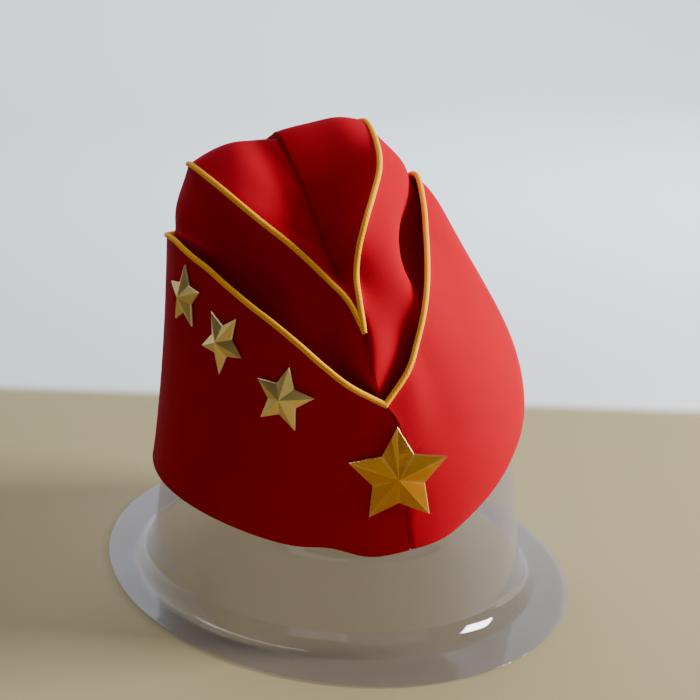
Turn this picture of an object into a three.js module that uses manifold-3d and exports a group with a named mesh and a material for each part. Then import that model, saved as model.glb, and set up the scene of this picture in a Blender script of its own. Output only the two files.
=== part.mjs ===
// Boat-shaped side cap of red cloth with gold piping and star badges, on a clear oval stand.
// Millimetres, +Z up. The origin is on the table, at the middle of the stand's foot.
// The cap's front seam faces -Y, and the three small stars are on its -X side.

import * as THREE from 'three';
import { mergeVertices } from 'three/addons/utils/BufferGeometryUtils.js';
import Module from 'manifold-3d';

const wasm = await Module();
wasm.setup();

// Cloth, piping and clearances
const CLOTH = 1.2;
const GAP = 0.3;
const PIPING_RADIUS = 1.5;
const EDGE_SETBACK = PIPING_RADIUS + 1.5 * GAP;

// Rim of the cap: an oval whose sides rise above its front and rear seams
const RIM_HALF_WIDTH = 83.1;
const RIM_HALF_LENGTH = 97.6;
const RIM_LOW = -4.2;
const RIM_RISE = 29.8;
const RIM_FLATTEN = 9.9;

// How the cap sits on the stand: it leans towards -X and is turned a little
const CAP_LEAN_DEG = -11.5;
const CAP_TURN_DEG = -1.0;
const CAP_SEAT = new THREE.Vector3(0.66, 0, 50);

// Share of the curtain's height where it stands out most, and the sharpness of the top's centre fold
const BULGE_PEAK = 0.36;
const FOLD_SHARPNESS = 1.3;

// The crown panel inside the curtain: its insets at the rim and half way up, and its own roundness above
const CROWN_INSET_RIM = CLOTH + 0.4;
const CROWN_INSET_MID = CLOTH + 1.4;
const CROWN_INSET_SHARE = 0.3;
const CROWN_ROUNDNESS_LEFT = 3;
const CROWN_ROUNDNESS_RIGHT = 6;

// The top panel starts beside the crown's piping, and ends before the seams
const TOP_INSET = PIPING_RADIUS + 1.5 * GAP;
const TOP_FROM = 0.09;
const TOP_TO = 0.975;

// Where the top is narrower than this, from its middle to its edge, its fold is shallower in proportion
const FOLD_FULL_REACH = 10;

// Grid sizes of the faceted panels
const STATIONS = 40;
const CURTAIN_ROWS = 6;
const CROWN_ROWS = 8;
const PIPING_STEPS = 40;
const PIPING_SIDES = 7;
const TOP_STATIONS = 36;
const TOP_HALF_COLUMNS = 4;
const FOLD_WIDTH = 0.03;

// A point inside the cap, which its walls grow towards; a seam's trimming block; a small step in share;
// how close points are joined into one
const CAP_INSIDE = new THREE.Vector3(0, 0, 60);
const TRIM_SIZE = 400;
const PROBE = 1e-3;
const WELD = 1e-4;

// Sections round one side of the cap, from the front seam to the rear seam.
// turn: degrees round the rim. curtain and crown: the piped edges (out, back, up) in the cap's frame.
// bulge: how far the curtain stands out. standoff: how far its edge stands off the crown.
// dip: depth of the top's centre fold. crest: how far the top rises instead. step: the fold's overlap.
const SECTION_COLUMNS = [
  'turn', 'curtainOut', 'curtainBack', 'curtainUp', 'crownOut', 'crownBack', 'crownUp',
  'bulgeLeft', 'bulgeRight', 'standoffLeft', 'standoffRight', 'dip', 'crest', 'step',
];
const SECTIONS = [
  [0, 0, -96, 61, 0, -82.5, 89, 1, 1, 4, 4, 0, 0, 0],
  [11, 12.4, -93, 71.4, 2.2, -74.6, 100, 1.5, 2, 6, 10, 2, 0, 0],
  [22, 20.1, -86.6, 80.2, 6, -62.5, 106.8, 2, 3.5, 4.4, 10, 8, 0, 0],
  [34, 27, -79.6, 89.3, 11.2, -54.3, 114.9, 2.5, 5, 3.6, 9, 12, 0, 0],
  [46, 33.4, -69, 96.9, 17.4, -49, 123.9, 2.5, 6.5, 3.4, 12, 16, 0, 0.4],
  [58, 39.6, -54.7, 103.1, 24.1, -43.4, 132.5, 2, 8.5, 3.4, 17, 20, 0, 1],
  [70, 45.4, -39.8, 110.2, 30.4, -36.6, 140.8, 1.5, 10, 3.4, 15, 20, 0, 2],
  [83, 50.3, -26.4, 118.4, 35.2, -21.9, 146.5, 0.5, 11, 3.6, 9, 12, 2, 2.8],
  [97, 55.2, -7, 124.2, 39.6, 4, 150, -0.5, 10, 4, 5, 6, 6.3, 3.2],
  [113, 55.5, 12, 119.5, 38.5, 22, 146, -1, 7, 4, 4, 5, 5.2, 3.2],
  [130, 50.3, 38, 111.5, 32.6, 42, 138.5, 0, 5, 4, 4, 4, 4.4, 2],
  [147, 38, 62, 103.5, 22, 59, 129, 1, 4, 3.2, 3.2, 2, 3, 1],
  [164, 20, 80, 97, 10, 73, 120, 1, 2, 2.8, 2.8, 1, 0, 0],
  [180, 0, 88, 93, 0, 81, 114, 1, 1, 2.8, 2.8, 0, 0, 0],
];

// Five-pointed badges on the curtain: place along and up the panel, tip radius, turn, tilt, yaw and rise.
// A side of 0 is the front seam itself. waist: the inner corners' share of the radius.
const STAR_COLUMNS = [
  'name', 'side', 'along', 'up', 'radius', 'turnDeg', 'tiltDeg', 'yawDeg', 'rise', 'waist',
];
const STARS = [
  ['star_front', 0, 0, 0.539, 21.6, -8, 3, -6, 5, 0.53],
  ['star_side_front', -1, 0.261, 0.729, 14, -18.5, -3, -5, 4, 0.49],
  ['star_side_middle', -1, 0.428, 0.796, 14, 32.9, -3, -5, 4, 0.49],
  ['star_side_rear', -1, 0.566, 0.816, 14, 0.3, 0, -5, 4, 0.49],
];
const STAR_POINTS = 5;
const STAR_EDGE_PARTS = 2;
const STAR_EDGE = 0.8;
const STAR_SHEET = 1.0;

// How much of the cloth's curve a star follows, and the steps that find the cloth under it
const STAR_BEND = 0.5;
const STAR_SEARCH_STEPS = 8;

// Clear stand: oval rings from the foot's edge to the top, as height, half width and half length
const STAND_WALL = 1.2;
const STAND_SEGMENTS = 36;
const STAND_RINGS = [
  [0, 103, 131],
  [1.2, 103, 131],
  [1.2, 90, 107],
  [2.8, 86.4, 103],
  [7, 84, 100.2],
  [14, 82.8, 98.6],
  [46, 78.5, 93.3],
  [82, 73, 87.6],
  [100, 67, 82],
  [112, 56, 71],
  [118, 41, 53],
  [120, 22, 28],
];
const STAND_TOP = 120.4;

// Finishes
const FINISHES = {
  cloth: { color: 0xb8101c, roughness: 0.85, metalness: 0 },
  piping: { color: 0xd9a02c, roughness: 0.7, metalness: 0 },
  brass: { color: 0xb59a55, roughness: 0.35, metalness: 0.9 },
  gilt: { color: 0xa8741c, roughness: 0.35, metalness: 0.9 },
  clear: { color: 0xdfe3ea, roughness: 0.08, metalness: 0, transparent: true, opacity: 0.3 },
};

// A smooth curve through the table's rows: share runs from 0 at the first row to 1 at the last
function readSection(share) {
  const last = SECTIONS.length - 1;
  const place = THREE.MathUtils.clamp(share, 0, 1) * last;
  const row = Math.min(Math.floor(place), last - 1);
  const f = place - row;
  const values = {};
  SECTION_COLUMNS.forEach((name, column) => {
    const here = SECTIONS[row][column];
    const next = SECTIONS[row + 1][column];
    const before = row > 0 ? SECTIONS[row - 1][column] : 2 * here - next;
    const after = row + 2 <= last ? SECTIONS[row + 2][column] : 2 * next - here;
    const slope = next - before;
    const bend = 2 * before - 5 * here + 4 * next - after;
    const twist = 3 * here - before - 3 * next + after;
    values[name] = 0.5 * (2 * here + slope * f + bend * f * f + twist * f * f * f);
  });
  return values;
}

// Points of one side of the cap at a station; side is -1 or +1
function station(share, side) {
  const s = readSection(share);
  const turn = THREE.MathUtils.degToRad(s.turn);
  const lift = Math.sin(turn) ** 2;
  const rimUp = RIM_LOW + RIM_RISE * lift - RIM_FLATTEN * lift * lift;
  const sine = side * Math.sin(turn);
  const cosine = Math.cos(turn);
  const outward = new THREE.Vector3(sine / RIM_HALF_WIDTH, -cosine / RIM_HALF_LENGTH, 0);
  return {
    rim: new THREE.Vector3(RIM_HALF_WIDTH * sine, -RIM_HALF_LENGTH * cosine, rimUp),
    curtainEdge: new THREE.Vector3(side * s.curtainOut, s.curtainBack, s.curtainUp),
    crownEdge: new THREE.Vector3(side * s.crownOut, s.crownBack, s.crownUp),
    outward: outward.normalize(),
    bulge: side < 0 ? s.bulgeLeft : s.bulgeRight,
    standoff: side < 0 ? s.standoffLeft : s.standoffRight,
    section: s,
  };
}

// The direction in which a piped edge runs
function edgeDirection(share, side, edgeName) {
  const after = station(Math.min(share + PROBE, 1), side)[edgeName];
  const before = station(Math.max(share - PROBE, 0), side)[edgeName];
  return after.sub(before).normalize();
}

// A point moved from a piped edge towards another point, until it is the setback away from the edge
function setBack(edge, direction, towards) {
  const way = towards.clone().sub(edge).normalize();
  const slant = way.clone().cross(direction).length();
  return edge.clone().addScaledVector(way, EDGE_SETBACK / slant);
}

// Outer face of the curtain: rim at up = 0, its top edge at up = 1, bulging outwards between them
function curtainPoint(share, up, side, inset = 0) {
  const at = station(share, side);
  const top = setBack(at.curtainEdge, edgeDirection(share, side, 'curtainEdge'), at.rim);
  const swell = Math.sin(Math.PI * Math.max(up, 0) ** (Math.log(0.5) / Math.log(BULGE_PEAK)));
  return at.rim.clone().lerp(top, up).addScaledVector(at.outward, at.bulge * swell - inset);
}

// Outer face of the crown panel: up inside the curtain, past its edge, and on to the crown's own edge
function crownPoint(share, up, side) {
  const at = station(share, side);
  const midInset = CROWN_INSET_MID + CROWN_INSET_SHARE * at.standoff;
  const low = curtainPoint(share, 0, side, CROWN_INSET_RIM);
  const mid = curtainPoint(share, 0.5, side, midInset);
  const passing = curtainPoint(share, 1, side, at.standoff);
  const top = setBack(at.crownEdge, edgeDirection(share, side, 'crownEdge'), passing);
  const most = side < 0 ? CROWN_ROUNDNESS_LEFT : CROWN_ROUNDNESS_RIGHT;
  const roundness = most * Math.sqrt(Math.sin(Math.PI * share));
  const shoulder = passing.clone().lerp(top, 0.5).addScaledVector(at.outward, roundness);
  const path = new THREE.CatmullRomCurve3([low, mid, passing, shoulder, top], false, 'catmullrom', 0.5);
  return path.getPoint(up);
}

// Upper face of the top panel: from the left crown edge (across = -1) to the right one (across = 1)
function topPoint(share, across) {
  const at = station(share, 1);
  const direction = edgeDirection(share, 1, 'crownEdge');
  const inward = new THREE.Vector3(-1, 0, 0);
  inward.addScaledVector(direction, -inward.dot(direction)).normalize();
  const edge = at.crownEdge.clone().addScaledVector(inward, TOP_INSET);
  const s = at.section;
  const depth = s.dip * Math.min(1, edge.x / FOLD_FULL_REACH);
  const fold = depth * (1 - Math.abs(across)) ** FOLD_SHARPNESS;
  const crest = s.crest * (1 - across * across);
  const overlap = across > 0 ? s.step * (1 - across) : 0;
  return new THREE.Vector3(across * edge.x, edge.y, edge.z - fold + crest + overlap);
}

// Makes an indexed geometry whose faces point out
function closedGeometry(points, triangles) {
  const geometry = new THREE.BufferGeometry();
  const flat = points.flatMap((p) => [p.x, p.y, p.z]);
  let volume = 0;
  const cross = new THREE.Vector3();
  triangles.forEach(([a, b, c]) => {
    volume += points[a].dot(cross.crossVectors(points[b], points[c]));
  });
  const ordered = volume < 0 ? triangles.map(([a, b, c]) => [a, c, b]) : triangles;
  geometry.setAttribute('position', new THREE.Float32BufferAttribute(flat, 3));
  geometry.setIndex(ordered.flat());
  return geometry;
}

// A wall of even thickness behind a face that is given on a grid; the wall grows towards the point inside
function wallFromGrid(face, columns, rows, thickness, inside) {
  const outer = [];
  for (let i = 0; i <= columns; i += 1) {
    for (let j = 0; j <= rows; j += 1) outer.push(face(i, j));
  }
  const index = (i, j) => i * (rows + 1) + j;
  const within = (k, count) => THREE.MathUtils.clamp(k, 0, count);
  const pick = (i, j) => outer[index(within(i, columns), within(j, rows))];
  const inner = [];
  for (let i = 0; i <= columns; i += 1) {
    for (let j = 0; j <= rows; j += 1) {
      const along = pick(i + 1, j).clone().sub(pick(i - 1, j));
      const up = pick(i, j + 1).clone().sub(pick(i, j - 1));
      const normal = along.cross(up).normalize();
      const inward = inside.clone().sub(pick(i, j));
      const sign = normal.dot(inward) < 0 ? -1 : 1;
      inner.push(pick(i, j).clone().addScaledVector(normal, sign * thickness));
    }
  }
  const count = outer.length;
  const triangles = [];
  const quad = (a, b, c, d) => triangles.push([a, b, c], [a, c, d]);
  for (let i = 0; i < columns; i += 1) {
    for (let j = 0; j < rows; j += 1) {
      const corners = [index(i, j), index(i + 1, j), index(i + 1, j + 1), index(i, j + 1)];
      quad(...corners);
      quad(...corners.map((k) => k + count).reverse());
    }
  }
  const border = [];
  for (let i = 0; i < columns; i += 1) border.push(index(i, 0));
  for (let j = 0; j < rows; j += 1) border.push(index(columns, j));
  for (let i = columns; i > 0; i -= 1) border.push(index(i, rows));
  for (let j = rows; j > 0; j -= 1) border.push(index(0, j));
  border.forEach((here, k) => {
    const next = border[(k + 1) % border.length];
    quad(next, here, here + count, next + count);
  });
  return closedGeometry(outer.concat(inner), triangles);
}

function toSolid(geometry) {
  const bare = geometry.clone();
  bare.deleteAttribute('normal');
  bare.deleteAttribute('uv');
  const merged = mergeVertices(bare, WELD);
  return new wasm.Manifold(new wasm.Mesh({
    numProp: 3,
    vertProperties: new Float32Array(merged.attributes.position.array),
    triVerts: new Uint32Array(merged.index.array),
  }));
}

function toGeometry(solid) {
  const mesh = solid.getMesh();
  const geometry = new THREE.BufferGeometry();
  geometry.setAttribute('position', new THREE.BufferAttribute(mesh.vertProperties, 3));
  geometry.setIndex(new THREE.BufferAttribute(mesh.triVerts, 1));
  geometry.computeVertexNormals();
  return geometry;
}

// Trims a piece at the seams: what is left lies on one side of the cap's middle plane
function trimAtSeams(geometry, side) {
  const block = new THREE.BoxGeometry(TRIM_SIZE, TRIM_SIZE, TRIM_SIZE);
  block.translate(side * (TRIM_SIZE + GAP) / 2, 0, 0);
  return toGeometry(toSolid(geometry).intersect(toSolid(block)));
}

function curtainPanel(side) {
  const face = (i, j) => curtainPoint(i / STATIONS, j / CURTAIN_ROWS, side);
  return trimAtSeams(wallFromGrid(face, STATIONS, CURTAIN_ROWS, CLOTH, CAP_INSIDE), side);
}

function crownPanel(side) {
  const face = (i, j) => crownPoint(i / STATIONS, j / CROWN_ROWS, side);
  return trimAtSeams(wallFromGrid(face, STATIONS, CROWN_ROWS, CLOTH, CAP_INSIDE), side);
}

// A round cord along one piped edge, run on past both seams
function cord(edgeName, side, radius) {
  const points = [];
  for (let i = 0; i <= PIPING_STEPS; i += 1) points.push(station(i / PIPING_STEPS, side)[edgeName]);
  const way = (from, to) => to.clone().sub(from).normalize();
  const runOn = (end, next) => end.clone().addScaledVector(way(next, end), PIPING_RADIUS);
  const last = points.length - 1;
  const path = new THREE.CatmullRomCurve3(
    [runOn(points[0], points[1]), ...points, runOn(points[last], points[last - 1])],
  );
  const outline = [];
  for (let k = 0; k < PIPING_SIDES; k += 1) {
    const angle = (k + 0.5) * 2 * Math.PI / PIPING_SIDES;
    outline.push(new THREE.Vector2(radius * Math.cos(angle), radius * Math.sin(angle)));
  }
  return new THREE.ExtrudeGeometry(new THREE.Shape(outline), { steps: PIPING_STEPS, extrudePath: path });
}

function piping(edgeName, side) {
  return trimAtSeams(cord(edgeName, side, PIPING_RADIUS), side);
}

// The top panel, fitted between the two crown pipings with a clearance round each
function topPanel() {
  const across = [];
  for (let k = TOP_HALF_COLUMNS; k > 0; k -= 1) across.push(-k / TOP_HALF_COLUMNS);
  across.push(-FOLD_WIDTH, FOLD_WIDTH);
  for (let k = 1; k <= TOP_HALF_COLUMNS; k += 1) across.push(k / TOP_HALF_COLUMNS);
  const share = (i) => THREE.MathUtils.lerp(TOP_FROM, TOP_TO, i / TOP_STATIONS);
  const face = (i, j) => topPoint(share(i), across[j]);
  const sheet = toSolid(wallFromGrid(face, TOP_STATIONS, across.length - 1, CLOTH, CAP_INSIDE));
  const left = toSolid(cord('crownEdge', -1, PIPING_RADIUS + GAP));
  const right = toSolid(cord('crownEdge', 1, PIPING_RADIUS + GAP));
  const pieces = sheet.subtract(left).subtract(right).decompose();
  pieces.sort((a, b) => b.volume() - a.volume());
  return toGeometry(pieces[0]);
}

// The curtain as one face round the front seam: shares below 0 are on its -X side
function roundFront(signedShare, up) {
  return curtainPoint(Math.abs(signedShare), up, signedShare < 0 ? -1 : 1);
}

// A stamped star: facets from a raised middle to a thin edge that partly follows the cloth, hollow behind
function starBadge({ side, along, up, radius, turnDeg, tiltDeg, yawDeg, rise, waist }) {
  const share = side * along;
  const middle = roundFront(share, up);
  const rate = (after, before) => after.sub(before).divideScalar(2 * PROBE);
  const alongStep = rate(roundFront(share + PROBE, up), roundFront(share - PROBE, up));
  const upStep = rate(roundFront(share, up + PROBE), roundFront(share, up - PROBE));
  const clothNormal = alongStep.clone().cross(upStep).normalize();
  const squareTo = (way, axis) => way.clone().addScaledVector(axis, -way.dot(axis)).normalize();
  const clothUpright = squareTo(new THREE.Vector3(0, 0, 1), clothNormal);
  const clothRight = clothUpright.clone().cross(clothNormal);
  const normal = clothNormal.clone();
  normal.addScaledVector(clothUpright, Math.tan(THREE.MathUtils.degToRad(tiltDeg)));
  normal.addScaledVector(clothRight, Math.tan(THREE.MathUtils.degToRad(yawDeg)));
  normal.normalize();
  const upright = squareTo(clothUpright, normal);
  const right = upright.clone().cross(normal);

  // Height of the cloth under a point of the star's plane
  const [ax, ay] = [alongStep.dot(right), alongStep.dot(upright)];
  const [ux, uy] = [upStep.dot(right), upStep.dot(upright)];
  const clothHeight = (x, y) => {
    let place = { share, up };
    for (let step = 0; step < STAR_SEARCH_STEPS; step += 1) {
      const off = roundFront(place.share, place.up).sub(middle);
      const dx = x - off.dot(right);
      const dy = y - off.dot(upright);
      const area = ax * uy - ay * ux;
      place = {
        share: place.share + (dx * uy - dy * ux) / area,
        up: place.up + (dy * ax - dx * ay) / area,
      };
    }
    return roundFront(place.share, place.up).sub(middle).dot(normal);
  };

  const corners = 2 * STAR_POINTS;
  const outline = [];
  for (let k = 0; k < corners; k += 1) {
    const angle = THREE.MathUtils.degToRad(90 + turnDeg + k * 360 / corners);
    const reach = k % 2 === 0 ? radius : radius * waist;
    outline.push(new THREE.Vector2(reach * Math.cos(angle), reach * Math.sin(angle)));
  }
  const heights = outline.map(({ x, y }) => clothHeight(x, y));
  const lift = GAP + Math.max(0, ...heights) * (1 - STAR_BEND);
  const onCloth = (x, y, height) => middle.clone()
    .addScaledVector(right, x)
    .addScaledVector(upright, y)
    .addScaledVector(normal, lift + STAR_BEND * clothHeight(x, y) + height);
  const points = [onCloth(0, 0, rise), onCloth(0, 0, rise - STAR_SHEET)];
  outline.forEach((corner, k) => {
    for (let part = 0; part < STAR_EDGE_PARTS; part += 1) {
      const { x, y } = corner.clone().lerp(outline[(k + 1) % corners], part / STAR_EDGE_PARTS);
      points.push(onCloth(x, y, STAR_EDGE), onCloth(x, y, 0));
    }
  });
  const edges = corners * STAR_EDGE_PARTS;
  const triangles = [];
  for (let k = 0; k < edges; k += 1) {
    const frontHere = 2 + 2 * k;
    const frontNext = 2 + 2 * ((k + 1) % edges);
    const backHere = frontHere + 1;
    const backNext = frontNext + 1;
    triangles.push([0, frontHere, frontNext], [1, backNext, backHere]);
    triangles.push([frontHere, backHere, backNext], [frontHere, backNext, frontNext]);
  }
  return closedGeometry(points, triangles);
}

// The stand: its outer rings, a matching inner skin set in by the wall, closed over the top, open below
function standShell() {
  const rings = STAND_RINGS.map(([height, halfWidth, halfLength]) => ({ height, halfWidth, halfLength }));
  const skin = rings.slice(2).map((ring, k) => {
    const below = rings[k + 1];
    const above = rings[k + 3] ?? { height: STAND_TOP, halfWidth: 0 };
    const rise = above.height - below.height;
    const run = below.halfWidth - above.halfWidth;
    const length = Math.hypot(rise, run);
    const inset = STAND_WALL * rise / length;
    return {
      height: Math.max(0, ring.height - STAND_WALL * run / length),
      halfWidth: ring.halfWidth - inset,
      halfLength: ring.halfLength - inset,
    };
  });
  skin[0].height = 0;
  const loop = [...rings.slice().reverse(), ...skin];
  const points = [];
  loop.forEach(({ height, halfWidth, halfLength }) => {
    for (let k = 0; k < STAND_SEGMENTS; k += 1) {
      const angle = 2 * Math.PI * k / STAND_SEGMENTS;
      points.push(new THREE.Vector3(halfWidth * Math.cos(angle), halfLength * Math.sin(angle), height));
    }
  });
  const outerTop = points.push(new THREE.Vector3(0, 0, STAND_TOP)) - 1;
  const innerTop = points.push(new THREE.Vector3(0, 0, STAND_TOP - STAND_WALL)) - 1;
  const triangles = [];
  for (let k = 0; k < STAND_SEGMENTS; k += 1) {
    const next = (k + 1) % STAND_SEGMENTS;
    triangles.push([outerTop, k, next]);
    for (let r = 0; r < loop.length - 1; r += 1) {
      const a = r * STAND_SEGMENTS;
      const b = a + STAND_SEGMENTS;
      triangles.push([a + k, b + k, b + next], [a + k, b + next, a + next]);
    }
    const end = (loop.length - 1) * STAND_SEGMENTS;
    triangles.push([innerTop, end + next, end + k]);
  }
  return closedGeometry(points, triangles);
}

function addPiece(group, name, geometry, finish) {
  const mesh = new THREE.Mesh(geometry, new THREE.MeshStandardMaterial(FINISHES[finish]));
  mesh.name = name;
  group.add(mesh);
}

const cap = new THREE.Group();
cap.position.copy(CAP_SEAT);
cap.rotation.set(
  0,
  THREE.MathUtils.degToRad(CAP_LEAN_DEG),
  THREE.MathUtils.degToRad(CAP_TURN_DEG),
  'ZYX',
);

[['left', -1], ['right', 1]].forEach(([label, side]) => {
  addPiece(cap, `crown_${label}`, crownPanel(side), 'cloth');
  addPiece(cap, `curtain_${label}`, curtainPanel(side), 'cloth');
  addPiece(cap, `crown_piping_${label}`, piping('crownEdge', side), 'piping');
  addPiece(cap, `curtain_piping_${label}`, piping('curtainEdge', side), 'piping');
});
addPiece(cap, 'crown_top', topPanel(), 'cloth');

STARS.forEach((row) => {
  const star = Object.fromEntries(STAR_COLUMNS.map((column, k) => [column, row[k]]));
  addPiece(cap, star.name, starBadge(star), star.side === 0 ? 'gilt' : 'brass');
});

const part = new THREE.Group();
part.add(cap);
addPiece(part, 'display_stand', standShell(), 'clear');

export default part;
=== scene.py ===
import math
import bmesh
import bpy
import numpy as np
from mathutils import Matrix


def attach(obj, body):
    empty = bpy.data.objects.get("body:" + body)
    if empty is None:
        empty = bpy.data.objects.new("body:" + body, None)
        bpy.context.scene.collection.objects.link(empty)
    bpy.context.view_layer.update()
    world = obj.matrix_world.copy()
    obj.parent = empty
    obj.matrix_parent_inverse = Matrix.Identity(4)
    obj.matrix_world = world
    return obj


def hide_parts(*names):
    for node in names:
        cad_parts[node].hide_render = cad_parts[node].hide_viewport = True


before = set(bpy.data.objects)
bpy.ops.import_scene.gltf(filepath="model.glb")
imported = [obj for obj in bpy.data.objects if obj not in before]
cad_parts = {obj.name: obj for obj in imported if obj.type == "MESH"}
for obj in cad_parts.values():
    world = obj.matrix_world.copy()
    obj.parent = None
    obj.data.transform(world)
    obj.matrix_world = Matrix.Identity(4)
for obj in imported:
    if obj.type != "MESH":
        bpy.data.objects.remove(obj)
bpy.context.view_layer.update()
print("frame loaded:", len(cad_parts), "nodes")

mm = 0.001


# vectors made 1 long
def unit(v):
    return v / np.maximum(np.linalg.norm(v, axis=-1, keepdims=True), 1e-12)


# slope of a grid along one axis; a closed axis runs on from its last row to its first
def slope(grid, axis, closed=False):
    if closed:
        return np.roll(grid, -1, axis) - np.roll(grid, 1, axis)
    return np.gradient(grid, axis=axis)


# soft bump: 1 at the middle, falling off as the bell curve exp(-(x / width) squared)
def bell(x, middle, width):
    return np.exp(-((x - middle) / width) ** 2)


# uniform Catmull-Rom curve from b to c, for f from 0 to 1
def curveBetween(a, b, c, d, f):
    bend = 2 * a - 5 * b + 4 * c - d
    twist = 3 * b - a - 3 * c + d
    return 0.5 * (2 * b + (c - a) * f + bend * f ** 2 + twist * f ** 3)


# that curve through the rows of a table; its ends run on in a straight line
def smoothRead(rows, share):
    padded = np.vstack([2 * rows[:1] - rows[1:2], rows, 2 * rows[-1:] - rows[-2:-1]])
    place = np.clip(share, 0, 1) * (len(rows) - 1)
    row = np.minimum(place.astype(int), len(rows) - 2)
    f = (place - row)[..., None]
    a, b, c, d = (padded[row + k] for k in range(4))
    return curveBetween(a, b, c, d, f)


# the same through a list of point arrays, read at each value of up
def smoothThrough(points, up):
    knots = [2 * points[0] - points[1], *points, 2 * points[-1] - points[-2]]
    place = np.clip(up, 0, 1) * (len(points) - 1)
    row = np.minimum(place.astype(int), len(points) - 2)
    f = (place - row)[None, :, None]
    stack = np.stack(knots, axis=1)
    a, b, c, d = (stack[:, row + k] for k in range(4))
    return curveBetween(a, b, c, d, f)


# the cap's sections from the front seam to the rear seam, in millimetres
sectionColumns = (
    "turn", "curtainOut", "curtainBack", "curtainUp", "crownOut", "crownBack", "crownUp",
    "bulgeLeft", "bulgeRight", "standoffLeft", "standoffRight", "dip", "crest", "step",
)
sectionRows = np.array([
    [0, 0, -96, 61, 0, -82.5, 89, 1, 1, 4, 4, 0, 0, 0],
    [11, 12.4, -93, 71.4, 2.2, -74.6, 100, 1.5, 2, 12, 5, 2, 0, 0],
    [22, 20.1, -86.6, 80.2, 6, -62.5, 106.8, 2, 3.5, 15, 4.5, 8, 0, 0],
    [34, 27, -79.6, 89.3, 11.2, -54.3, 114.9, 2.5, 5, 16, 2.6, 12, 0, 0],
    [46, 33.4, -69, 96.9, 17.4, -49, 123.9, 2.5, 6.5, 16, 6.5, 16, 0, 0.4],
    [58, 39.6, -54.7, 103.1, 24.1, -43.4, 132.5, 2, 8.5, 15, 16, 20, 0, 1],
    [70, 45.4, -39.8, 110.2, 30.4, -36.6, 140.8, 1.5, 10, 13, 15, 20, 0, 2],
    [83, 50.3, -26.4, 118.4, 35.2, -21.9, 146.5, 0.5, 11, 10, 8, 12, 2, 2.8],
    [97, 55.2, -7, 124.2, 39.6, 4, 150, -0.5, 10, 5, 4, 6, 6.3, 3.2],
    [113, 55.5, 12, 119.5, 38.5, 22, 146, -1, 7, 4, 4, 5, 5.2, 3.2],
    [130, 50.3, 38, 111.5, 32.6, 42, 138.5, 0, 5, 4, 4, 4, 4.4, 2],
    [147, 38, 62, 103.5, 22, 59, 129, 1, 4, 3.2, 3.2, 2, 3, 1],
    [164, 20, 80, 97, 10, 73, 120, 1, 2, 2.8, 2.8, 1, 0, 0],
    [180, 0, 88, 93, 0, 81, 114, 1, 1, 2.8, 2.8, 0, 0, 0],
], float)

# the whole cap: its rim, its seat on the stand and its cloth, in millimetres and degrees
cap = dict(
    rimHalfWidth=83.1, rimHalfLength=97.6, rimLow=-4.2, rimRise=29.8, rimFlatten=9.9,
    frontDip=1.4, dipTurn=11.0, dipWidth=8.0,       # the rim dips beside the front seam
    waveRise=2.2, waveTurn=23.0, waveWidth=7.0,     # and rises in a wave on the left
    leanDeg=-11.5, turnDeg=-1.0, seat=(0.66, 0, 50), inside=(0, 0, 60),
    wall=1.2,
    edgeSetback=0.75,                               # how far the cloth stops from the middle of the piping
    crowding=0.11,                                  # how much closer the columns stand at the seams
)
curtain = dict(
    columns=181, rows=44,
    bulgePeak=0.36,                                 # the height at which the swell is fullest
    hollowLeft=3.0, hollowRight=0.4, hollowShare=0.32,  # the hollow beside the front seam
    hollowLow=0.6, hollowGain=0.8,                  # its depth at the rim, and how it grows upwards
    shoulder=2.3, shoulderShare=0.59, shoulderWidth=0.08, shoulderPower=6,  # the right one's upper swell
    drop=4.0, dropTurn=91.0, dropWidth=14.0,        # how far the left edge lies lower
)
crown = dict(
    columns=181, rows=56,
    underLeft=0.3, underRight=0.6,                  # room between the lower hem and the curtain
    behind=1.2, lag=0.15,                           # room half way up, and its share of the standoff
    relaxTurns=400,                                 # how far the part above the curtain is pulled smooth
    roundLeft=0.5, rearLeft=7.5, rearLeftShare=0.68, rearLeftWidth=0.12,  # how far it swells then
    roundRight=3.5, rearRight=6.5, rearRightShare=0.6, rearRightWidth=0.18,
    steepRight=1.5, steepShare=0.23, steepWidth=0.13,  # how far the right one drops back below its piping
    ridgeShift=2.0, ridgeForth=5.0, ridgeWidth=0.1,  # how far the front ridge lies left and forth
    drop=2.3, dropTurn=76.0, dropWidth=30.0,        # how far the left edge lies lower
    forth=12.0, forthTurn=44.0, forthWidth=22.0,    # how far the right edge leans to the viewer
    sightline=(-0.253, -0.919, 0.302),
)
seam = dict(
    ditchLeft=0.1, ditchRight=0.5, ditchWidth=1.4,  # the cloth rolls in beside the seam
    tuck=0.9, tuckWidth=0.7, tuckGain=4, tuckStart=2.4,  # near the V the left panel goes under the right
    bend=4.5, bendWidth=12.0, bendPower=3,          # the front seam bends to the right
    slitHalf=0.35,                                  # half the room between the panels
)
thirdPeak = 6.75                                    # brings the top of t (1 - t) squared to 1


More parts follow.
